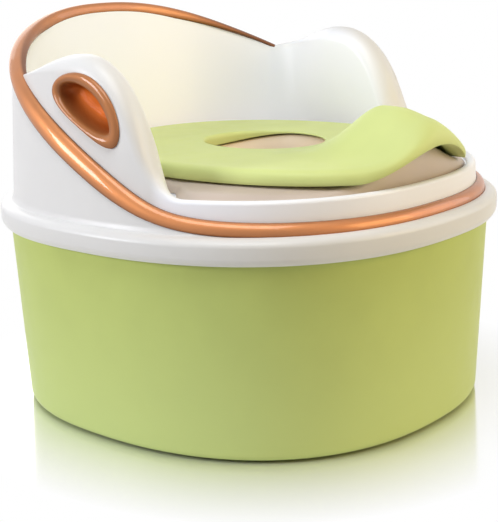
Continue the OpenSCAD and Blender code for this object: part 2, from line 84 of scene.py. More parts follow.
class ChairLengths(PropertyGroup):
    """Lengths of the chair, as moulded."""
    rim_w: length("Rim width", 344.96, "Width over the rim")
    rim_front: length("Rim front", 191, "Reach of the rim in front of its widest line")
    rim_back: length("Rim back", 165, "Reach of the rim behind its widest line")
    tub_top: length("Tub height", 147.5, "Height of the tub's upper edge above the floor")
    tub_foot_inset: length("Tub foot inset", 12.5, "Inset of the tub's foot from the rim")
    tub_top_inset: length("Tub top inset", 6, "Inset of the tub's upper edge from the rim")
    tub_wall: length("Tub wall", 3, "Wall of the tub")
    tub_edge_r: length("Tub edge radius", 5, "Radius of the tub's bottom edge")
    tub_low: length("Tub clearance", 1.2, "Height of the tub's floor above the ground")
    outer_wall: length("Outer wall", 3, "Wall of the outer shell")
    skirt_drop: length("Skirt drop", 11.8, "Depth of the skirt below the shelf")
    skirt_taper: length("Skirt taper", 2.5, "Taper of the skirt's lower edge")
    shoulder_w: length("Shoulder width", 8.2, "Width of the rim's rounded shoulder")
    shoulder_rise: length("Shoulder rise", 3.1, "Height of the shoulder above the shelf")
    wall_inset: length("Wall inset", 9.5, "Inset of the wall's foot from the rim")
    rib_drop: length("Rib drop", 8, "Depth of the locating rib inside the tub")
    trim_r: length("Trim radius", 5.4, "Radius of the trim's half-round section")
    trim_crown: length("Trim crown", 4.98, "Extra height of the trim at mid back")
    trim_start_y: length("Trim start", -53, "Place along Y where the trim starts to climb", -1.0)
    trim_soft: length("Trim softness", 34, "Softness of the start of the climb")
    inner_wall: length("Inner wall", 2.2, "Wall of the inner shell")
    deck_rise: length("Deck rise", 19.6, "Height of the deck above the shelf")
    lip_h: length("Lip height", 4.5, "Height of the front lip above the deck")
    lip_w: length("Lip width", 6, "Width of the front lip")
    arm_h: length("Arm height", 92.5, "Height of the arms above the deck")
    arm_w: length("Arm thickness", 24, "Thickness of the arms")
    arm_apex_y: length("Arm apex", 19, "Place along Y of an arm's highest point", -1.0)
    arm_reach: length("Arm reach", 64, "Reach of an arm in front of its highest point")
    deck_inset: length("Deck inset", 46, "Inset of the inner wall's foot at the deck")
    grip_l: length("Grip length", 67, "Length of a grip")
    grip_w: length("Grip width", 35, "Width of a grip")
    grip_bow: length("Grip bow", 3.8, "Bow of the grip's middle line")
    grip_border: length("Grip border", 8, "Width of the grip's bullnose border")
    grip_depth: length("Grip depth", 15, "Depth of the finger pocket")
    well_side: length("Well side", 72.5, "Inset of the deck's opening from the rim, at the sides")
    well_front: length("Well front", 32, "Inset of the deck's opening from the rim, at the front")
    well_back: length("Well back", 74, "Inset of the deck's opening from the rim, at the back")
    bowl_depth: length("Bowl depth", 118, "Depth of the bowl below the deck")
    bowl_wall: length("Bowl wall", 2.6, "Wall of the bowl")
    bowl_taper: length("Bowl taper", 9.4, "Narrowing of the bowl to its floor")
    bowl_funnel: length("Bowl funnel", 5, "Narrowing of the bowl in its funnel mouth")
    collar_h: length("Collar height", 8, "Height of the bowl's collar")
    collar_rise: length("Collar rise", 17, "Rise of the collar under the splash guard")
    ring_side: length("Ring side", 62.5, "Inset of the seat ring from the rim, at the sides")
    ring_tip: length("Ring tip", 9, "Inset of the seat ring from the rim, at the front")
    ring_heel: length("Ring heel", 62, "Inset of the seat ring from the rim, at the back")
    ring_h: length("Ring height", 9.8, "Height of the seat ring")
    ring_t: length("Ring thickness", 3, "Thickness of the seat")
    seat_crown: length("Seat crown", 1, "Crown of the seat around its opening")
    hole_w: length("Opening width", 82, "Width of the seat's opening")
    hole_l: length("Opening length", 94, "Length of the seat's opening")
    edge_front: length("Opening edge, front", 1.4, "Depth of the opening's edge at the front")
    edge_back: length("Opening edge, back", 8.4, "Depth of the opening's edge at the back")
    guard_h: length("Guard height", 32, "Height of the splash guard above the seat")
    guard_half: length("Guard half width", 60.5, "Half width of the splash guard")
    arch_h: length("Arch rise", 19.2, "Rise of the arch under the splash guard")
    arch_half: length("Arch half width", 63, "Half width of the arch")


class ChairForms(PropertyGroup):
    """Angles and curve powers of the chair."""
    plan_n: power("Rim squareness", 2.33, "Power of the rim's plan, where 2 is an ellipse")
    ring_n: power("Ring squareness", 2.2, "Power of the seat ring's plan")
    well_n: power("Well squareness", 2.3, "Power of the deck opening's plan")
    wall_lean: angle("Wall lean", 3, "Lean of the wall from the vertical")
    trim_slope: angle("Trim slope", 30.5, "Slope of the trim along the sides")
    grip_turn: angle("Grip turn", 36, "Turn of a grip from the level")


class ChairColours(PropertyGroup):
    """Colours of the finishes."""
    tub: colour("Tub green", (0.49, 0.565, 0.164), "Moulded green of the tub")
    ring: colour("Ring green", (0.62, 0.69, 0.262), "Soft pale green of the seat ring")
    shell: colour("Shell white", (0.705, 0.695, 0.68), "White of both seat shells")
    copper: colour("Copper", (0.43, 0.165, 0.054), "Metallic copper coat of the trim and grips")
    bowl: colour("Bowl beige", (0.53, 0.44, 0.375), "Grey beige of the bowl")
    rubber: colour("Rubber", (0.05, 0.05, 0.052), "Rubber of the pads")
    steel: colour("Steel", (0.55, 0.55, 0.56), "Plated steel of the screws")


class StageSettings(PropertyGroup):
    """Light and floor of the plain studio."""
    left_power: power("Left light", 10.9, "Watts of the cool light behind the left side")
    front_power: power("Front light", 12.4, "Watts of the warm light at the front right")
    right_power: power("Right light", 4.8, "Watts of the light on the right")
    seat_power: power("Seat light", 4.4, "Watts of the light above the seat")
    back_power: power("Back light", 4.0, "Watts of the light behind the right side")
    sky: power("Sky", 0.12, "Strength of the even light from all around")
    floor: colour("Floor", (0.80, 0.80, 0.80), "Pale floor")


def sizes():
    """All lengths in millimetres, the forms, and the heights and insets that follow from them."""
    scene = bpy.context.scene
    s = SimpleNamespace(**{k: getattr(scene.chair_lengths, k) / MM for k in ChairLengths.__annotations__})
    s.__dict__.update({k: getattr(scene.chair_forms, k) for k in ChairForms.__annotations__})
    s.rest_gap, s.seat_gap, s.pad_proud = 0.3, 0.2, 0.6
    ring_ahead, hole_behind, trim_sink, wall_lift, shelf_thin = 33, 5, 0.6, 3, 0.4
    s.wide_y = (s.rim_front - s.rim_back) / 2
    s.shelf_low = s.tub_top + s.rest_gap
    s.shelf_top = s.shelf_low + s.outer_wall - shelf_thin
    s.skirt_low = s.shelf_low - s.skirt_drop
    s.crest_z = s.shelf_top + s.shoulder_rise
    s.trim_front_z = s.crest_z - trim_sink
    s.wall_foot_z = s.crest_z + wall_lift
    s.deck_z = s.shelf_top + s.deck_rise
    s.lip_z = s.deck_z + s.lip_h
    s.arm_z = s.deck_z + s.arm_h
    s.collar_z = s.deck_z + s.rest_gap + s.collar_h
    s.ring_low = s.collar_z + s.rest_gap + s.pad_proud
    s.ring_top = s.ring_low + s.ring_h
    s.crown_z = s.ring_top + s.seat_crown
    s.trim_set = s.trim_r - 1
    s.face_set = s.trim_set + 0.3 + s.seat_gap
    rim_tip_y, rim_heel_y = s.wide_y - s.rim_front, s.wide_y + s.rim_back
    s.ring_y = s.wide_y - ring_ahead
    s.ring_w = s.rim_w - 2 * s.ring_side
    s.ring_front = s.ring_y - rim_tip_y - s.ring_tip
    s.ring_back = rim_heel_y - s.ring_heel - s.ring_y
    s.well_w = s.rim_w - 2 * s.well_side
    s.well_l = s.rim_front + s.rim_back - s.well_front - s.well_back
    s.well_y = (rim_tip_y + s.well_front + rim_heel_y - s.well_back) / 2
    s.hole_y = s.ring_y + hole_behind
    return s


# Curves, as whole arrays

def mix(a, b, u):
    """Straight blend from a (u = 0) to b (u = 1)."""
    return a + (b - a) * u


def smooth(u):
    """Ease from 0 to 1: three u squared less two u cubed, held flat outside."""
    v = np.clip(u, 0.0, 1.0)
    return v * v * (3 - 2 * v)


def spow(v, p):
    """Signed power: the size of v to the power p, with v's sign."""
    return np.sign(v) * np.abs(v) ** p


def superellipse(t, d, width, front, back, n, mid_y):
    """Plan point at angle t, moved in by d: cosine and sine to the power 2/n, with a reach to each end."""
    reach = np.where(np.sin(t) < 0, front, back) - d
    return (width / 2 - d) * spow(np.cos(t), 2 / n), mid_y + reach * spow(np.sin(t), 2 / n)


def at(xy, z):
    """Points from plan coordinates and heights, spread to one shape."""
    x, y, z = np.broadcast_arrays(xy[0], xy[1], z)
    return np.stack([x, y, z], -1).astype(float)


def plan(s, t, d):
    """Rim's plan at angle t, moved in by d."""
    return superellipse(t, d, s.rim_w, s.rim_front, s.rim_back, s.plan_n, s.wide_y)


def well(s, t, d):
    """Deck opening's plan at angle t, moved in by d."""
    return superellipse(t, d, s.well_w, s.well_l / 2, s.well_l / 2, s.well_n, s.well_y)


def oval(s, t, d):
    """Seat ring's plan at angle t, moved in by d."""
    return superellipse(t, d, s.ring_w, s.ring_front, s.ring_back, s.ring_n, s.ring_y)


def hole(s, t, d):
    """Seat opening's ellipse at angle t, moved out by d."""
    return (s.hole_w / 2 + d) * np.cos(t), s.hole_y + (s.hole_l / 2 + d) * np.sin(t)


def edge_depth(s, t):
    """Depth of the opening's edge: shallow in front, growing with the square of the sine to the back."""
    return mix(s.edge_front, s.edge_back, np.maximum(0, np.sin(t)) ** 2)


def plan_reach(s, y, d):
    """Reach of the plan on the side of its widest line where y is, moved in by d."""
    return np.where(y < s.wide_y, s.rim_front, s.rim_back) - d


def angle_at(s, y, d):
    """Angle at which the plan, moved in by d, reaches y: the plan's own formula turned round."""
    return np.arcsin(np.clip(spow((y - s.wide_y) / plan_reach(s, y, d), s.plan_n / 2), -1, 1))


def half_width_at(s, y, d):
    """Half width of the plan, moved in by d, at y."""
    share = np.clip(np.abs(y - s.wide_y) / plan_reach(s, y, d), 0, 1)
    return (s.rim_w / 2 - d) * (1 - share ** s.plan_n) ** (1 / s.plan_n)


def bump(x, half, p):
    """One where x is 0, a cosine to the power p, and nothing past the half width."""
    return np.where(np.abs(x) < half, np.cos(np.pi / 2 * np.clip(x / half, -1, 1)).clip(0) ** p, 0.0)


def arch(s, x):
    """Share of the arch's rise at x."""
    return bump(x, s.arch_half, 1.5)


def swell(s, x):
    """Share of the splash guard's height at x."""
    return bump(x, s.guard_half, 3)


def bezier(points, u):
    """Bezier curve of any degree by repeated blending of neighbours."""
    p = [np.asarray(q, float) for q in points]
    u = np.asarray(u, float)[:, None]
    while len(p) > 1:
        p = [mix(a, b, u) for a, b in zip(p[:-1], p[1:])]
    return p[0]


def shares(count, whole=1):
    """Evenly spaced values from 0 up to the whole, the last one left out."""
    return np.linspace(0, whole, count, endpoint=False)


def arc(start, end, steps):
    """Evenly spaced angles in radians, both ends in."""
    return np.radians(np.linspace(start, end, steps + 1))


def corner_on(curve, s, t):
    """Function for a profile's corner: a plan curve, moved in by d, at height z, and the corner's radius."""
    return lambda d, z, r=0: (at(curve(s, t, d), z), r)


def rounded(corners, closed=True):
    """Profile with its corners rounded, for all stations at once.
    corners holds (points, radius); a radius makes a quadratic arc between the two cut points."""
    points = [c[0] for c in corners]
    count = len(points)
    rows = []
    for k, (p, r) in enumerate(corners):
        if r == 0 or (not closed and k in (0, count - 1)):
            rows.append(p[None])
            continue
        a, b = points[k - 1] - p, points[(k + 1) % count] - p
        la, lb = np.linalg.norm(a, axis=-1, keepdims=True), np.linalg.norm(b, axis=-1, keepdims=True)
        cut = np.minimum(r, 0.48 * np.minimum(la, lb))
        p0, p2 = p + a / np.maximum(la, 1e-9) * cut, p + b / np.maximum(lb, 1e-9) * cut
        u = np.linspace(0, 1, ROUND)[:, None, None]
        rows.append(mix(mix(p0, p, u), mix(p, p2, u), u))
    return np.concatenate(rows)


# Meshes

def ring_faces(rows, count, closed):
    """Quads between neighbouring rings of points, the last joined to the first where closed."""
    j = np.arange(rows if closed else rows - 1)[:, None]
    i = np.arange(count)[None]
    k, n = (i + 1) % count, (j + 1) % rows
    return np.stack([j * count + i, n * count + i, n * count + k, j * count + k], -1).reshape(-1, 4)


def fan(first, count, middle):
    """Triangles from one ring to a middle point."""
    i = np.arange(count)
    return np.stack([first + i, first + (i + 1) % count, np.full(count, middle)], -1)


def fill_mesh(name, points, faces):
    """Mesh from points in millimetres and faces as lists of point numbers, with outward normals."""
    mesh = bpy.data.meshes.new(name)
    mesh.from_pydata(points * MM, [], faces)
    mesh.validate()
    work = bmesh.new()
    work.from_mesh(mesh)
    bmesh.ops.recalc_face_normals(work, faces=work.faces)
    work.to_mesh(mesh)
    work.free()
    return mesh


def skin(name, rings, closed):
    """Object over rings of points, rings[row, around, xyz]; open ends are closed by a fan to their middle."""
    rows, count = rings.shape[:2]
    points, faces = rings.reshape(-1, 3), ring_faces(rows, count, closed).tolist()
    if not closed:
        points = np.concatenate([points, [rings[0].mean(0), rings[-1].mean(0)]])
        faces += fan(0, count, rows * count).tolist()
        faces += fan((rows - 1) * count, count, rows * count + 1)[:, ::-1].tolist()
    mesh = fill_mesh(name, points, faces)
    piece = bpy.data.objects.new(name, mesh)
    bpy.context.scene.collection.objects.link(piece)
    soften(mesh)
    return piece


def add_shade(piece, rings, shade):
    """Keeps a shade from 0 to 1 on every point of the rings, by which the finish blends two colours; this
    paints light and shade into a piece's colour.
    """
    shade = np.broadcast_to(shade, rings.shape[:2]).astype(np.float32)
    values = np.zeros(len(piece.data.vertices), np.float32)
    values[:shade.size] = shade.ravel()
    values[shade.size:] = np.array([shade[0].mean(), shade[-1].mean()])[:len(values) - shade.size]
    piece.data.attributes.new("shade", "FLOAT", "POINT").data.foreach_set("value", values)


def soften(mesh, degrees=40):
    """Smooth shading that keeps edges sharper than the angle."""
    mesh.polygons.foreach_set("use_smooth", np.ones(len(mesh.polygons), bool))
    mesh.set_sharp_from_angle(angle=np.radians(degrees))


def hand_over(piece, body, solid, slot, look=None):
    """The piece rides on its body, stands for its solid and takes its slot's finish or another."""
    piece.data.materials.clear()
    piece.data.materials.append(finishes()[look or slot])
    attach(piece, body)
    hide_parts(solid)


# Seat lines shared by the shells and the trim

def wall_at(s, z):
    """Inset of the outer wall at height z: a straight lean."""
    return s.wall_inset + np.tan(s.wall_lean) * (z - s.wall_foot_z)


def face_at(s, z):
    """Inset of the inner shell's outer face at height z."""
    return wall_at(s, z) + s.face_set


def trim_z(s, y):
    """Height of the trim's centre: level, a steady climb through a hyperbola, and a crown at the back."""
    run = y - s.trim_start_y
    back = np.maximum(0, (y - s.wide_y) / (s.rim_back - 20))
    climb = np.tan(s.trim_slope) * (run + np.sqrt(run * run + s.trim_soft ** 2)) / 2
    return s.trim_front_z + climb + s.trim_crown * back ** (3 * s.plan_n)


def trim_y(s, t):
    """Place along Y of the trim at angle t, on the leaning wall."""
    upright_z = trim_z(s, plan(s, t, s.wall_inset + s.trim_set)[1])
    return plan(s, t, wall_at(s, upright_z) + s.trim_set)[1]


def eased(v, reach=9):
    """Values round the seat, each blended with its neighbours by a raised cosine."""
    weight = 1 + np.cos(np.pi * np.linspace(-1, 1, 2 * reach + 3)[1:-1])
    return np.convolve(np.concatenate([v[-reach:], v, v[:reach]]), weight / weight.sum(), "valid")


def edge_slope(p):
    """Steepness of a line of (y, z) points."""
    d = np.gradient(p, axis=0)
    return np.abs(d[:, 1]) / np.maximum(np.abs(d[:, 0]), 0.01)


def seat_stations(s):
    """Stations round the seat: angle t, edge height h, edge width w, edge slope, share of the back, and the
    insets of the edge's top and the inner wall's foot. The front is level, then a fillet, an elliptic arm,
    a cubic rear slope and the back along the trim; the other half is mirrored in X."""
    back_y, back_w, arm_sink, fillet_turn = 92, 2.6, 5.5, np.radians(24)
    fillet_start, fillet_pull = 30, 11.6
    crest_run, slope_run, slope_drop = 27, 34, 11
    bend_r, look_aside = 4, 0.035

    def arm(a):
        return np.stack([s.arm_apex_y - s.arm_reach * np.cos(a), mix(s.lip_z, s.arm_z, np.sin(a))], -1)

    def edge_w(z):
        return mix(s.lip_w, s.arm_w, smooth((z - s.lip_z) / (0.45 * (s.arm_z - s.lip_z))))

    foot = arm(fillet_turn)
    arm_back = np.array([back_y, trim_z(s, back_y) + arm_sink])
    fillet = bezier([*((foot[0] - run, s.lip_z) for run in (fillet_start, fillet_pull)), foot],
                    shares(HALF.fillet))
    arms = arm(mix(fillet_turn, np.pi / 2, shares(HALF.arm)))
    u_rear = shares(HALF.rear)
    rear = bezier([(s.arm_apex_y, s.arm_z), (s.arm_apex_y + crest_run, s.arm_z),
                   (s.arm_apex_y + slope_run, s.arm_z - slope_drop), arm_back], u_rear)
    side = np.concatenate([fillet, arms, rear])
    slope = edge_slope(np.concatenate([side, arm_back[None]]))[:-1]
    side_w = np.concatenate([edge_w(fillet[:, 1]), edge_w(arms[:, 1]), mix(s.arm_w, back_w, smooth(u_rear))])
    front_angle = angle_at(s, fillet[0, 0], face_at(s, s.lip_z))
    back_angle = angle_at(s, back_y, face_at(s, arm_back[1]))
    front_t = mix(-np.pi / 2, front_angle, shares(HALF.front))
    u_back = np.linspace(0, 1, HALF.back)
    back_t = mix(back_angle, np.pi / 2, u_back)
    share = smooth(1.4 * u_back)
    level, none = np.full(HALF.front, s.lip_z), np.zeros(HALF.front)
    half = SimpleNamespace(
        t=np.concatenate([front_t, angle_at(s, side[:, 0], face_at(s, side[:, 1])), back_t]),
        h=np.concatenate([level, side[:, 1], trim_z(s, trim_y(s, back_t)) + mix(arm_sink, 0.5, share)]),
        w=np.concatenate([none + s.lip_w, side_w, np.full(HALF.back, back_w)]),
        slope=np.concatenate([none, slope, np.zeros(HALF.back)]),
        share=np.concatenate([none, np.zeros(len(side)), share]))
    other = slice(-2, 0, -1)
    st = SimpleNamespace(**{k: np.concatenate([v, v[other]]) for k, v in vars(half).items() if k != "t"})
    st.t = np.concatenate([half.t, np.pi - half.t[other]])
    st.trim_z = trim_z(s, trim_y(s, st.t))
    st.leg = 0.52 * s.trim_r * st.share
    st.top = face_at(s, st.h) + st.leg
    rise = smooth((st.w - s.lip_w) / 4 + st.share + (st.h - s.lip_z) / 30)
    st.foot = eased(np.maximum(mix(st.top + s.lip_w, s.deck_inset, rise), st.top + st.w))
    st.bend = eased(np.minimum(bend_r, 0.3 * (st.h - s.deck_z)))
    st.half = len(half.t)
    lead, lag = (plan(s, st.t + turn, s.wall_inset) for turn in (look_aside, -look_aside))
    run = np.hypot(lead[0] - lag[0], lead[1] - lag[1])
    st.stretch = np.sqrt(1 + ((trim_z(s, lead[1]) - trim_z(s, lag[1])) / run) ** 2)
    return st


# Finishes

def put(tree, socket, value):
    """Links another socket to this one, or sets its number or colour."""
    if isinstance(value, bpy.types.NodeSocket):
        tree.links.new(value, socket)
    else:
        socket.default_value = value


def bare_tree(owner):
    """Emptied node tree of a material or the world."""
    owner.use_nodes = True
    owner.node_tree.nodes.clear()
    return owner.node_tree


def node(tree, kind, **sockets):
    """Shader node beside those before it, with its input sockets set or linked."""
    n = tree.nodes.new(kind)
    n.location.x = 200 * len(tree.nodes)
    for key, value in sockets.items():
        put(tree, n.inputs[key.replace("_", " ")], value)
    return n


def noise(tree, vector, scale, detail):
    """Noise pattern on object coordinates, with its value as output."""
    return node(tree, "ShaderNodeTexNoise", Vector=vector, Scale=scale, Detail=detail).outputs["Fac"]


def spread(tree, value, low, high):
    """Noise value stretched to run from low to high."""
    return node(tree, "ShaderNodeMapRange", Value=value, From_Min=0.3, From_Max=0.7,
                To_Min=low, To_Max=high).outputs["Result"]


def blended(tree, value, near, far):
    """Colour that runs from near to far with the value; each is a socket or a colour."""
    m = node(tree, "ShaderNodeMix")
    m.data_type = "RGBA"
    put(tree, m.inputs["Factor"], value)
    for socket, shown in zip([i for i in m.inputs if i.type == "RGBA"], (near, far)):
        put(tree, socket, shown)
    return next(o for o in m.outputs if o.type == "RGBA")


def finish(name, rgb, rough, contrast, depth, grain=1400.0, shade=None, lacquer=None, **sockets):
    """Moulded finish on object coordinates: slow clouding of the colour, uneven gloss and a fine grain.
    The shade colour comes in by the piece's shade, where the lacquer fades out; this is painted light and
    shade, lighter or darker where a piece is lit more or less."""
    cloud, uneven, grain_height = 30.0, 0.05, 0.0004
    mat = bpy.data.materials.new(name)
    tree = bare_tree(mat)
    place_on = node(tree, "ShaderNodeTexCoord").outputs["Object"]
    clouds, gloss, fine = (noise(tree, place_on, scale, detail)
                           for scale, detail in ((cloud, 3), (4 * cloud, 5), (grain, 2)))
    dark, light = ((*[min(1.0, c * k) for c in rgb], 1) for k in (1 - contrast, 1 + contrast))
    base = blended(tree, spread(tree, clouds, 0, 1), dark, light)
    if shade:
        low = node(tree, "ShaderNodeAttribute")
        low.attribute_name = "shade"
        base = blended(tree, low.outputs["Fac"], base, (*shade, 1))
        if lacquer:
            sockets["Coat_Weight"] = node(tree, "ShaderNodeMapRange", Value=low.outputs["Fac"],
                                          To_Min=lacquer, To_Max=0.0).outputs["Result"]
    grained = node(tree, "ShaderNodeBump", Strength=depth, Distance=grain_height, Height=fine)
    shader = node(tree, "ShaderNodeBsdfPrincipled", Base_Color=base,
                  Roughness=spread(tree, gloss, rough - uneven, rough + uneven),
                  Normal=grained.outputs["Normal"], **sockets)
    node(tree, "ShaderNodeOutputMaterial", Surface=shader.outputs["BSDF"])
    mat.diffuse_color = (*rgb, 1)
    return mat


def finishes():
    """The chair's finishes by slot, made once."""
    c = bpy.context.scene.chair_colours
    copper = dict(contrast=0.06, depth=0.06, grain=2600.0)
    grip_rgb = [0.8 * v for v in c.copper]
    made = {
        # The green's shade colour is painted light: the tub is coloured lighter toward its foot
        "green_plastic": dict(rgb=c.tub, rough=0.42, contrast=0.035, depth=0.05, shade=(0.585, 0.68, 0.262),
                              Specular_IOR_Level=0.08),
        "pale_green_plastic": dict(rgb=c.ring, rough=0.50, contrast=0.03, depth=0.06, Specular_IOR_Level=0.3),
        # The white's shade colour is painted light on the inner shell: a brighter, cooler white inside and on
        # the lip
        "white_plastic": dict(rgb=c.shell, rough=0.34, contrast=0.012, depth=0.025,
                              shade=(0.88, 0.885, 0.925), Specular_IOR_Level=0.35),
        # The copper's shade colour is painted shade along the trim's edges
        "copper_trim": dict(rgb=c.copper, rough=0.52, shade=(0.17, 0.055, 0.014), Metallic=0.85,
                            Coat_Weight=0.6, Coat_Roughness=0.06, **copper),
        # The grip's shade colour is painted shade: a deeper, darker orange in the pocket
        "copper_grip": dict(rgb=grip_rgb, rough=0.56, shade=(0.46, 0.098, 0.008), Metallic=0.4, lacquer=0.5,
                            Coat_Roughness=0.07, Specular_IOR_Level=0.08, **copper),
        # The beige's shade colour is painted light inside the pot
        "beige_plastic": dict(rgb=c.bowl, rough=0.45, contrast=0.03, depth=0.04, shade=(0.86, 0.715, 0.53)),
        "dark_rubber": dict(rgb=c.rubber, rough=0.75, contrast=0.15, depth=0.25, grain=900.0),
        "screw_steel": dict(rgb=c.steel, rough=0.32, contrast=0.06, depth=0.12, grain=1800.0, Metallic=1.0)}
    return {k: bpy.data.materials.get("chair_" + k) or finish("chair_" + k, **{**v, "rgb": tuple(v["rgb"])})
            for k, v in made.items()}


# Pieces

class MakeTub(Operator):
    """Green tub: a tapered superellipse wall with a rounded foot, an open top and a flat floor"""
    bl_idname = "chair.make_tub"
    bl_label = "Base tub"

    def execute(self, context):
        s = sizes()
        ring = corner_on(plan, s, shares(AROUND, 2 * np.pi))
        slack, below_rim, floor_rings = 3, 4, (120, 60)

        def inset(z):
            return mix(s.tub_foot_inset, s.tub_top_inset, (z - s.tub_low) / (s.tub_top - s.tub_low))

        top_inset, floor_z = inset(s.tub_top), s.tub_low + s.tub_wall
        outer_r, inner_r = s.tub_edge_r, s.tub_edge_r - s.tub_wall + slack
        floor_inset = inset(floor_z) + s.tub_wall
        a = arc(90, 0, 12)
        foot_z = s.tub_low + outer_r * (1 - np.sin(a))
        outside = [ring(d, z) for d, z in zip(inset(foot_z) + outer_r * (1 - np.cos(a)), foot_z)]
        wall = [ring(inset(z), z) for z in np.linspace(s.tub_low + 2 * outer_r, s.tub_top - below_rim, 10)]
        lip = [ring(top_inset, s.tub_top, 1.4), ring(top_inset + s.tub_wall, s.tub_top, 1.0)]
        inside = [ring(floor_inset + inner_r * (1 - np.cos(a)), floor_z + inner_r * (1 - np.sin(a)))
                  for a in arc(0, 90, 10)]
        under = [ring(d, s.tub_low) for d in floor_rings]
        floor = [ring(d, floor_z) for d in floor_rings[::-1]]
        rings = rounded(under + outside + wall + lip + inside + floor, False)
        tub = skin("tub_body", rings, False)
        # Painted light and shade: by height, the tub's colour runs lighter toward the foot and darker under
        # the rim
        add_shade(tub, rings, 1 - rings[..., 2] / s.tub_top)
        hand_over(tub, "base", "base_tub", "green_plastic")
        return {"FINISHED"}


class MakeOuterShell(Operator):
    """White outer shell: skirt, rounded shoulder, leaning wall up to the trim, and the shelf on the tub"""
    bl_idname = "chair.make_outer_shell"
    bl_label = "Outer shell"

    def execute(self, context):
        s = sizes()
        st = seat_stations(s)
        ring, opening = corner_on(plan, s, st.t), corner_on(well, s, st.t)
        rib_gap, rib_w, bulge, shoulder_h, open_by = 1, 2, 5, 5.5, -5
        shoulder_z = s.crest_z - shoulder_h
        edge_z = st.trim_z - (s.trim_r / 2 + s.seat_gap) * st.stretch
        edge_in = wall_at(s, edge_z)
        foot_z = np.minimum(s.wall_foot_z, edge_z - 0.3)
        tub_in = mix(s.tub_foot_inset, s.tub_top_inset, (s.tub_top - s.rib_drop) / s.tub_top)
        rib_inset = tub_in + s.tub_wall + rib_gap
        rib_in, rib_z = rib_inset + rib_w, s.shelf_low - s.rib_drop
        hem, inner = s.skirt_taper + s.outer_wall - 0.2, s.outer_wall + 0.2
        flare = bezier([(s.skirt_taper, s.skirt_low), (0.1 * s.skirt_taper, s.skirt_low + 2.2),
                        (0, s.skirt_low + bulge)], np.linspace(0, 1, 9)[1:])
        shoulder = [ring(s.shoulder_w * (1 - np.cos(a)), mix(shoulder_z, s.crest_z, np.sin(a)))
                    for a in arc(0, 80, 14)]
        corners = (
            [ring(hem, s.skirt_low, 0.6), ring(s.skirt_taper, s.skirt_low, 0.9)]
            + [ring(d, z) for d, z in flare] + shoulder
            + [ring(s.shoulder_w, s.crest_z, 0.8), ring(wall_at(s, foot_z), foot_z, 1.4),
               ring(edge_in + 0.3, edge_z, 0.4), ring(edge_in + s.outer_wall, edge_z, 0.4),
               ring(wall_at(s, s.shelf_top) + s.outer_wall, s.shelf_top, 1.2),
               opening(open_by, s.shelf_top, 0.6), opening(open_by, s.shelf_low, 0.6),
               ring(rib_in, s.shelf_low, 0.8), ring(rib_in, rib_z, 0.6),
               ring(rib_inset, rib_z, 0.6), ring(rib_inset, s.shelf_low, 0.8),
               ring(inner, s.shelf_low, 0.8), ring(inner, s.skirt_low + bulge, 0.8)])
        shell = skin("outer_shell", rounded(corners), True)
        hand_over(shell, "seat_top", "seat_outer_shell", "white_plastic")
        return {"FINISHED"}


class MakeTrim(Operator):
    """Copper trim: a half-round section carried along the joint of the shells and over the back's edge"""
    bl_idname = "chair.make_trim"
    bl_label = "Trim ring"

    def execute(self, context):
        s = sizes()
        st = seat_stations(s)
        # The angle a runs from the outer heel over the crest to the inner heel
        a = arc(-30, 210, 60)[:, None]
        within = a > np.pi / 2
        r = s.trim_r * (1 + 0.9 * (st.stretch - 1))
        y = trim_y(s, st.t)
        # How far a station is up the climb, past the arm and on the back
        climb, lower, crown = (smooth((y - start) / run) for start, run in ((-65, 60), (10, 80), (50, 80)))
        up = mix(mix(1.08, 1.4, climb), 1, crown)
        down = mix(mix(1.1, 1.45, climb), 1, lower)
        flat = np.where(within, 0.8 * (1 - st.share), 0)
        z = st.trim_z + r * st.stretch * mix(np.sin(a), 1, flat) * np.where(a > 0, up, down)
        lean = wall_at(s, mix(z, st.trim_z, crown))
        # The crest moves inwards along the back, where the section wraps over the edge
        crest, inner_reach = 0.6 * crown, mix(0.12, 1.22, crown)
        across = np.cos(a) * np.where(within, inner_reach - crest, 1 + crest) - crest
        rings = at(plan(s, st.t, lean + s.trim_set - r * across), z)
        trim = skin("copper_trim_ring", rings, True)
        # Painted shade: the trim darkens at its lower edge, over its inner half along the arms, and at its
        # inner heel along the back, where it meets the shells
        low, top, heel = (smooth((np.degrees(a) * way - start) / 20)
                          for way, start in ((-1, 12), (1, 76), (1, 190)))
        add_shade(trim, rings, np.maximum(low, mix(top, heel, st.share)))
        hand_over(trim, "seat_top", "trim_ring", "copper_trim")
        return {"FINISHED"}


def egg(s, a, d):
    """Grip outline on the arm's face, as (y, z), moved in by d: two half ellipses on a bowed line, turned.
    The border is narrow towards the trim and wide at the tip, evening out towards the pocket's floor."""
    mid_y, below_arm, shift, bow_at, bow_run = 6.5, 33.5, 3, -8, 165
    blunt, tapered = 0.45, 0.58
    border = 0.85 + 0.33 * np.sin(a) + 0.5 * np.maximum(0, -np.cos(a)) ** 2
    d = d * mix(border, 1, smooth((d - s.grip_border) / s.grip_border))
    u = shift + (np.where(np.cos(a) > 0, blunt, tapered) * s.grip_l - d) * np.cos(a)
    v = (s.grip_w / 2 - d) * np.sin(a) + s.grip_bow - (u - bow_at) ** 2 / bow_run
    c, n = np.cos(s.grip_turn), np.sin(s.grip_turn)
    return mid_y + u * c - v * n, s.arm_z - below_arm + u * n + v * c


def grip_ring(s, side, d, out, around=144):
    """Ring of the egg outline, moved in by d and standing out of the arm's face."""
    y, z = egg(s, shares(around, 2 * np.pi), d)
    return np.stack([side * (half_width_at(s, y, face_at(s, z)) + out), y, z], -1)


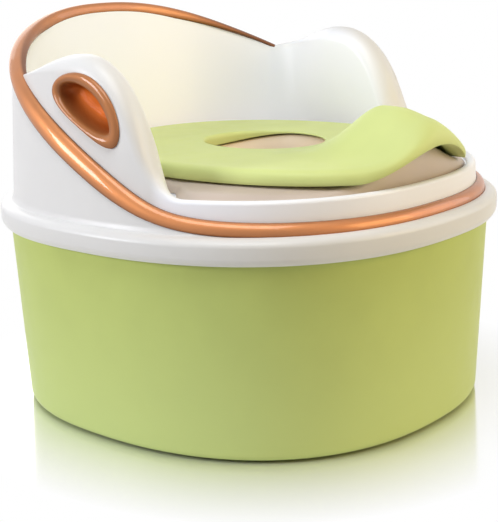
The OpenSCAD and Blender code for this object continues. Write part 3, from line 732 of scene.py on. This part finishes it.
class MakeInnerShell(Operator):
    """White inner shell: front lip, deck, hollow rounded arms with grip windows, and the back's inside"""
    bl_idname = "chair.make_inner_shell"
    bl_label = "Inner shell"

    def execute(self, context):
        s = sizes()
        st = seat_stations(s)
        h, w = st.h, st.w
        ring, opening = corner_on(plan, s, st.t), corner_on(well, s, st.t)
        drop, tuck, window_in, window_out = 8, 8, 2.2, 3
        low = np.maximum(st.trim_z - tuck, s.shelf_top + 0.5)
        round_z = eased(np.minimum(w / 2 * np.sqrt(1 + st.slope ** 2), 0.6 * (h - s.deck_z)))
        leg, top, foot, bend = st.leg, st.top, st.foot, st.bend
        knee = h - round_z
        knee_inset = mix(top + w, foot, round_z / (h - s.deck_z))
        bend_inset = mix(foot, top + w, bend / (h - s.deck_z))
        wall = s.inner_wall
        face, apex = face_at(s, knee) + leg, top + w / 2

        def over(a, near, far, rise):
            """Point on the rounded edge: half an ellipse from the near face over the apex to the far face."""
            return ring(mix(apex, near if np.cos(a) > 0 else far, abs(np.cos(a))), knee + rise * np.sin(a))

        outside = [ring(face_at(s, z) + leg, z)
                   for z in (mix(low, knee, u) for u in (0.1, 0.35, 0.6, 0.8, 0.93))]
        crest = [over(a, face, knee_inset, round_z) for a in arc(0, 180, 32)]
        hollow = [over(a, np.minimum(face + wall, apex - 0.1), np.maximum(knee_inset - wall, apex + 0.1),
                       np.maximum(round_z - wall, 0.1)) for a in arc(180, 0, 12)]
        inside = [ring(mix(knee_inset, bend_inset, u), mix(knee, s.deck_z + bend, u))
                  for u in (0.07, 0.2, 0.4, 0.6, 0.8, 0.93)]
        sweep = [ring(mix(bend_inset, foot + bend, u * u), s.deck_z + bend * (1 - u) ** 2)
                 for u in np.linspace(0, 1, 8)]
        corners = (
            [ring(face_at(s, low) + leg, low, 0.4)] + outside + crest + inside + sweep
            + [opening(-0.4, s.deck_z, 0.8), opening(0, s.deck_z - drop, 0.5),
               opening(-wall, s.deck_z - drop, 0.5), opening(-wall, s.deck_z - wall, 0.8),
               ring(foot + bend - 0.5 * wall, s.deck_z - wall, 0.8),
               ring(bend_inset - wall, s.deck_z + bend - wall, 0.8)]
            + hollow + [ring(face_at(s, low) + leg + wall, low, 0.4)])
        rings = rounded(corners)
        shell = skin("inner_shell", rings, True)
        # Painted light: the crest's inner half, the inner walls, the deck and the front lip take a brighter,
        # cooler white than the outside
        shade = smooth((np.linspace(0, 180, len(crest)) - 92) / 70)
        shade = np.pad(shade, (ROUND + len(outside), 0))
        shade = np.pad(shade, (0, len(rings) - len(shade)), mode="edge")[:, None]
        add_shade(shell, rings, np.maximum(shade, 1 - smooth((h - s.lip_z) / 20)))
        for side in (-1, 1):
            rings = np.stack([grip_ring(s, side, s.grip_border - window_in, out)
                              for out in (-1.5 * wall - 1, window_out)])
            cut_window(shell, skin("window", rings, False))
        soften(shell.data)
        hand_over(shell, "seat_top", "seat_inner_shell", "white_plastic")
        return {"FINISHED"}


def cut_window(piece, cutter):
    """Takes the cutter's solid out of the piece and removes the cutter."""
    cut = piece.modifiers.new("window", "BOOLEAN")
    cut.operation, cut.object, cut.solver = "DIFFERENCE", cutter, "EXACT"
    graph = bpy.context.evaluated_depsgraph_get()
    mesh = bpy.data.meshes.new_from_object(piece.evaluated_get(graph))
    before = len(piece.data.polygons)
    piece.modifiers.clear()
    piece.data = mesh
    bpy.data.objects.remove(cutter)
    if len(mesh.polygons) < 0.5 * before:
        raise RuntimeError("the grip window could not be cut")


class MakeGrips(Operator):
    """Copper hand grips: a bullnose border that runs into a blind egg-shaped pocket, in both arms"""
    bl_idname = "chair.make_grips"
    bl_label = "Hand grips"

    def execute(self, context):
        s = sizes()
        border, deep = s.grip_border, s.grip_depth
        body, seat_level, proud, sill, floor = border - 1.6, 0.5, 3.4, -2.4, 2.5 - deep
        lip = bezier([(0, s.seat_gap), (0, 2.4), (1.4, proud), (4.4, proud), (border - 0.9, 2.6),
                      (border, 0.2), (border, sill)], np.linspace(0, 1, 26))
        well_in = bezier([(border, sill), (border + 0.7, 0.5 * floor), (border + 2, 0.85 * floor),
                          (border + 5, floor), (body + 9, floor)], np.linspace(0, 1, 18))[1:]
        back = [(body + 7.2, -deep - 1.8), (body + 1.6, 2 - deep), (body, -3), (body, s.seat_gap)]
        profile = np.concatenate([back, lip, well_in])
        for side, name in ((-1, "right"), (1, "left")):
            rings = np.stack([grip_ring(s, side, d, out) for d, out in profile])
            grip = skin("copper_grip_" + name, rings, False)
            # Painted shade: the pocket runs to a deeper, darker orange with its depth, and the coat fades out
            # there
            add_shade(grip, rings, smooth((seat_level - profile[:, 1:]) / deep))
            hand_over(grip, "seat_top", "hand_grip_" + name, "copper_trim", "copper_grip")
        return {"FINISHED"}


class MakeBowl(Operator):
    """Beige bowl: a tray hanging by its collar on the deck, with a deep oval pot under the seat's opening"""
    bl_idname = "chair.make_bowl"
    bl_label = "Bowl"

    def execute(self, context):
        s = sizes()
        # Extra angles where the collar turns round the arms' feet
        close = arc(-26, -13, 52)
        t = np.concatenate([shares(AROUND, 2 * np.pi), close % (2 * np.pi), np.pi - close])
        t = np.unique(t.round(6))
        low, base_z, tray_z = s.deck_z - s.bowl_depth, s.deck_z + s.rest_gap, s.collar_z - 1
        rib_z, rib, mouth, lip_gap, fillet = s.deck_z - 6, 2, 2, 1.2, 8
        wall, funnel_z, floor_rings = s.bowl_wall, s.deck_z, (-34, -24)
        front = face_at(s, s.lip_z) + s.lip_w + 1
        st = seat_stations(s)
        foot = np.interp(np.arcsin(np.sin(t)), st.t[:st.half], (st.foot + st.bend)[:st.half])
        inset = mix(front, s.deck_inset + 7, (foot - foot.min()) / (foot.max() - foot.min()))
        depth = edge_depth(s, t)

        def collar(d):
            return plan(s, t, inset + d)

        def edge(d):
            a, b = oval(s, t, d + 1.5), collar(d + 3)
            x = np.sign(a[0]) * np.minimum(np.abs(a[0]), np.abs(b[0]))
            return x, np.where(a[1] < 0, np.maximum(a[1], b[1]), np.minimum(a[1], b[1]))

        def lifted(xy, z):
            return at(xy, z + np.where(np.sin(t) < 0, s.collar_rise * arch(s, xy[0]), 0))

        def pot(d, z, r=0):
            return at(hole(s, t, mouth + d), z), r

        def rim(d, drop):
            return pot(d, s.crown_z - depth - lip_gap - drop, 1)

        def pot_foot(d, z, angles):
            return [pot(d - fillet * (1 - np.cos(a)), z + fillet * (1 - np.sin(a))) for a in angles]

        under = corner_on(well, s, t)
        hem, crown = at(collar(0), base_z), lifted(edge(0), s.collar_z)
        inside = pot_foot(-s.bowl_taper, low + wall, arc(0, 90, 8))
        inside += [pot(d, low + wall) for d in floor_rings[::-1]]
        corners = (
            [pot(d, low) for d in floor_rings] + pot_foot(wall - s.bowl_taper, low, arc(90, 0, 8))
            + [pot(wall - s.bowl_funnel, funnel_z - 2, 4), pot(wall + 1, tray_z - wall, 2),
               under(rib + wall, tray_z - wall, 1), under(rib + wall, rib_z, 0.6), under(rib, rib_z, 0.6),
               (lifted(well(s, t, rib - 0.4), s.collar_z - wall), 1),
               (lifted(edge(wall), s.collar_z - wall), 0.8), (at(collar(wall), base_z), 0.4),
               (hem, 0.5), (mix(hem, crown, np.array([0.3, 0.3, 0.66])), 4), (crown, 2),
               (lifted(edge(14), s.collar_z), 3), pot(16, tray_z, 3),
               rim(wall + 1, 3), rim(wall, 0), rim(0, 0), pot(-s.bowl_funnel, funnel_z, 8)]
            + inside)
        rings = rounded(corners, False)
        bowl = skin("bowl_body", rings, False)
        # Painted light: from the inner edge of the pot's lip, through the funnel and down the inside, the
        # beige is lighter and warmer
        outside = len(rounded(corners[:-len(inside) - 2], False))
        add_shade(bowl, rings, np.arange(len(rings))[:, None] > outside)
        hand_over(bowl, "bowl_pan", "bowl", "beige_plastic")
        return {"FINISHED"}


class MakeSeatRing(Operator):
    """Pale green seat ring: a shallow oval seat whose front swells into a splash guard over an arch"""
    bl_idname = "chair.make_seat_ring"
    bl_label = "Seat ring"

    def execute(self, context):
        s = sizes()
        t = shares(360, 2 * np.pi)
        ridge, fall, fall_w, hem = 0.38, 0.44, 0.44, 0.13
        depth = edge_depth(s, t)
        front = np.where(np.sin(t) < 0, 1.0, 0.0)

        def share(q):
            rise = mix(s.arch_h / s.guard_h, 1, np.sqrt(np.clip(1 - (1 - q / ridge) ** 2, 0, 1)))
            return np.where(q < ridge, rise, 1 - smooth((q - fall) / fall_w))

        def loops(q, z, lift, dip):
            """Rings at shares q from the outer edge to the opening: a straight mix of the two plans,
            raised by the arch at the hem and by the guard on the seat, and lowered at the opening's edge."""
            q, z, lift, dip = (np.asarray(v, float)[:, None] for v in np.broadcast_arrays(q, z, lift, dip))
            a, b = oval(s, t, 0), hole(s, t, 0)
            x, y = mix(a[0], b[0], q), mix(a[1], b[1], q)
            raise_by = mix(arch(s, x) * s.arch_h, swell(s, x) * s.guard_h * share(q), lift)
            return at((x, y), z + front * raise_by - dip * depth)

        def crown(q):
            return s.ring_top + s.seat_crown * smooth((q - 0.15) / 0.55)

        q_side = np.array([0.006, 0.0015, 0.0, 0.0015, 0.006, 0.013, 0.024, 0.039, 0.057, 0.078, 0.1])
        h_side = np.array([0, 0.06, 0.22, 0.42, 0.58, 0.71, 0.82, 0.9, 0.955, 0.987, 1])
        lift_side = np.array([0, 0, 0.06, 0.15, 0.25, 0.35, 0.44, 0.52, 0.6, 0.67, 0.73])
        q_top = np.linspace(0.11, 0.95, 64)
        a = arc(90, 0, 8)
        side = loops(q_side, s.ring_low + s.ring_h * h_side, lift_side, 0)
        top = loops(q_top, crown(q_top), mix(0.75, 1, smooth((q_top - 0.1) / 0.22)), 0)
        edge = loops(0.975 + 0.025 * np.cos(a), s.crown_z, 1, 0.5 * (1 - np.sin(a)))
        under_q = np.linspace(0.87, 0.19, 40)
        under = loops(under_q, crown(under_q) - s.ring_t, mix(0.72, 1, smooth((under_q - 0.14) / 0.2)), 0)
        lip = loops([1.0, 0.99, 0.95], s.crown_z, 1, [0.9, 1.0, 1.0])
        z_rim = [s.ring_top - s.ring_t - 2, s.ring_low + 2, s.ring_low, s.ring_low]
        rim = loops([0.17, 0.15, hem, 0.02], z_rim, [0.55, 0.15, 0, 0], 0)
        ring = skin("seat_ring_body", np.concatenate([side, top, edge, lip, under, rim]), True)
        hand_over(ring, "ring", "seat_ring", "pale_green_plastic")
        return {"FINISHED"}


class DressHardware(Operator):
    """Finishes for the pads and screws, which keep their solids"""
    bl_idname = "chair.dress_hardware"
    bl_label = "Pads and screws"

    def execute(self, context):
        made = finishes()
        names = {"screw_steel": ["shell_screws"],
                 "dark_rubber": [f"{kind}_pad_{i}" for kind in ("foot", "ring") for i in range(1, 5)]}
        for slot, nodes in names.items():
            for name in nodes:
                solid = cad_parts[name]
                solid.data.materials.clear()
                solid.data.materials.append(made[slot])
        return {"FINISHED"}


# Stage

CAMERA_AT = (-0.68553, -0.60055, 0.32689)
CAMERA_RIGHT = (0.65582, -0.75444, -0.02681)
CAMERA_UP = (0.20336, 0.14236, 0.9687)
CAMERA_AHEAD = (0.72701, 0.64074, -0.24679)
FOCAL_PIXELS, FRAME_HEIGHT, SENSOR = 1226.3, 522, 36.0
WHITE = (1, 1, 1, 1)


def add_camera(scene):
    """Camera at the photograph's viewpoint: its axes as a matrix, its focal length from pixels."""
    data = bpy.data.cameras.new("camera")
    data.sensor_fit, data.sensor_width, data.sensor_height = "VERTICAL", SENSOR, SENSOR
    data.lens = FOCAL_PIXELS * SENSOR / FRAME_HEIGHT
    data.clip_start, data.clip_end = 0.01, 100
    camera = bpy.data.objects.new("camera", data)
    axes = Matrix((CAMERA_RIGHT, CAMERA_UP, [-v for v in CAMERA_AHEAD])).transposed()
    camera.matrix_world = Matrix.Translation(CAMERA_AT) @ axes.to_4x4()
    scene.collection.objects.link(camera)
    scene.camera = camera


def add_light(scene, name, spot, aim, width, watts, rgb):
    """Soft square light at spot, turned to aim."""
    data = bpy.data.lights.new(name, "AREA")
    data.shape, data.size = "SQUARE", width
    data.energy, data.color = watts, rgb
    lamp = bpy.data.objects.new(name, data)
    lamp.rotation_euler = (Vector(aim) - Vector(spot)).to_track_quat("-Z", "Y").to_euler()
    lamp.location = spot
    scene.collection.objects.link(lamp)


def calc(tree, operation, a, b=0.0):
    """Result of a sum on two sockets or numbers."""
    m = node(tree, "ShaderNodeMath")
    m.operation = operation
    for socket, value in zip(m.inputs, (a, b)):
        put(tree, socket, value)
    return m.outputs[0]


def mixed(tree, share, near, far):
    """Shader that runs from near to far with the share."""
    blend = node(tree, "ShaderNodeMixShader", Fac=share)
    for socket, part in zip(blend.inputs[1:], (near, far)):
        put(tree, socket, part.outputs[0])
    return blend


def seen_ray(tree):
    """One for camera, glossy and transmission rays, which show the white background."""
    path = node(tree, "ShaderNodeLightPath")
    total = path.outputs["Is Camera Ray"]
    for other in ("Is Glossy Ray", "Is Transmission Ray"):
        total = calc(tree, "MAXIMUM", total, path.outputs[other])
    return total


def add_sky(scene, strength):
    """Even light from all around, and plain white where it is seen."""
    scene.world = scene.world or bpy.data.worlds.new("sky")
    tree = bare_tree(scene.world)
    light, white = (node(tree, "ShaderNodeBackground", Color=WHITE, Strength=v) for v in (strength, 1.0))
    blend = mixed(tree, seen_ray(tree), light, white)
    node(tree, "ShaderNodeOutputWorld", Surface=blend.outputs[0])


def floor_finish(rgb):
    """Pale floor, white where it is seen far off, with shadow and a faint reflection near the chair.
    Nearness falls with the superellipse of the tub's foot: both axes to its power, added, then the root."""
    foot_x, foot_y, square, fade_end = 0.160, 0.1655, 2.33, 1.5
    mat = bpy.data.materials.new("studio_floor")
    tree = bare_tree(mat)
    spot = node(tree, "ShaderNodeTexCoord").outputs["Object"]
    axes = node(tree, "ShaderNodeSeparateXYZ", Vector=spot)
    parts = [calc(tree, "ABSOLUTE", calc(tree, "DIVIDE", axes.outputs[k], half))
             for k, half in (("X", foot_x), ("Y", foot_y))]
    total = calc(tree, "ADD", *[calc(tree, "POWER", v, square) for v in parts])
    near = node(tree, "ShaderNodeMapRange", Value=calc(tree, "POWER", total, 1 / square),
                From_Min=1.0, From_Max=fade_end, To_Min=1.0, To_Max=0.0)
    mirror = node(tree, "ShaderNodeBsdfGlossy", Color=WHITE, Roughness=0.12)
    matt = node(tree, "ShaderNodeBsdfDiffuse", Color=(0.9, 0.9, 0.9, 1))
    glow = node(tree, "ShaderNodeEmission", Color=WHITE, Strength=1.0)
    look = mixed(tree, near.outputs["Result"], glow, mixed(tree, 0.25, mirror, matt))
    plain = node(tree, "ShaderNodeBsdfDiffuse", Color=(*rgb, 1))
    blend = mixed(tree, seen_ray(tree), plain, look)
    node(tree, "ShaderNodeOutputMaterial", Surface=blend.outputs[0])
    return mat


class MakeStage(Operator):
    """Plain pale floor, soft studio light and the camera"""
    bl_idname = "chair.make_stage"
    bl_label = "Stage"

    def execute(self, context):
        scene = context.scene
        g = scene.chair_stage
        scene.view_settings.view_transform = "Standard"
        reach = 30000
        u = np.linspace(-reach, reach, 3)
        x, y = np.meshgrid(u, u)
        points = np.stack([x.ravel(), y.ravel(), np.zeros(9)], -1)
        quads = [[0, 1, 4, 3], [1, 2, 5, 4], [3, 4, 7, 6], [4, 5, 8, 7]]
        floor = bpy.data.objects.new("floor", fill_mesh("floor", points, quads))
        floor.data.materials.append(floor_finish(tuple(g.floor)))
        scene.collection.objects.link(floor)
        add_sky(scene, g.sky)
        middle, seat = (0, 0, 0.15), (0, 0, 0.2)
        for name, spot, aim, width, watts, rgb in (
                ("left", (-1.2, 0.7, 0.6), middle, 0.45, g.left_power, (0.95, 0.95, 1.0)),
                ("front", (0.5, -1.4, 0.7), middle, 1.0, g.front_power, (1.0, 0.76, 0.38)),
                ("right", (1.2, -0.9, 0.6), middle, 1.0, g.right_power, (0.65, 0.80, 1.0)),
                ("back", (0.6, 1.3, 0.7), middle, 1.0, g.back_power, (1.0, 0.98, 0.95)),
                ("seat", (-0.3, -0.15, 0.9), seat, 0.5, g.seat_power, (0.92, 0.96, 1.0))):
            add_light(scene, name + "_soft_light", spot, aim, width, watts, rgb)
        add_camera(scene)
        return {"FINISHED"}


class ChairPanel(Panel):
    """Lists the pieces that can be built"""
    bl_idname = "VIEW3D_PT_chair"
    bl_label = "Potty chair"
    bl_space_type = "VIEW_3D"
    bl_region_type = "UI"
    bl_category = "Potty chair"

    def draw(self, context):
        for maker in MAKERS:
            self.layout.operator(maker.bl_idname)
        for group, kind in GROUPS.items():
            box = self.layout.box()
            box.label(text=kind.__doc__)
            for key in kind.__annotations__:
                box.prop(getattr(context.scene, group), key)


GROUPS = {"chair_lengths": ChairLengths, "chair_forms": ChairForms, "chair_colours": ChairColours,
          "chair_stage": StageSettings}
MAKERS = (MakeTub, MakeOuterShell, MakeTrim, MakeInnerShell, MakeGrips, MakeBowl, MakeSeatRing, DressHardware,
          MakeStage)


def register():
    """Registers the property groups, operators and panel."""
    for group, kind in GROUPS.items():
        bpy.utils.register_class(kind)
        setattr(bpy.types.Scene, group, PointerProperty(type=kind))
    for kind in (*MAKERS, ChairPanel):
        bpy.utils.register_class(kind)


def unregister():
    """Takes everything back in the opposite order."""
    for kind in (ChairPanel, *reversed(MAKERS)):
        bpy.utils.unregister_class(kind)
    for group, kind in reversed(GROUPS.items()):
        delattr(bpy.types.Scene, group)
        bpy.utils.unregister_class(kind)


def main():
    """Builds the chair and the stage."""
    register()
    for maker in MAKERS:
        group, name = maker.bl_idname.split(".")
        getattr(getattr(bpy.ops, group), name)()


if __name__ == "__main__":
    main()
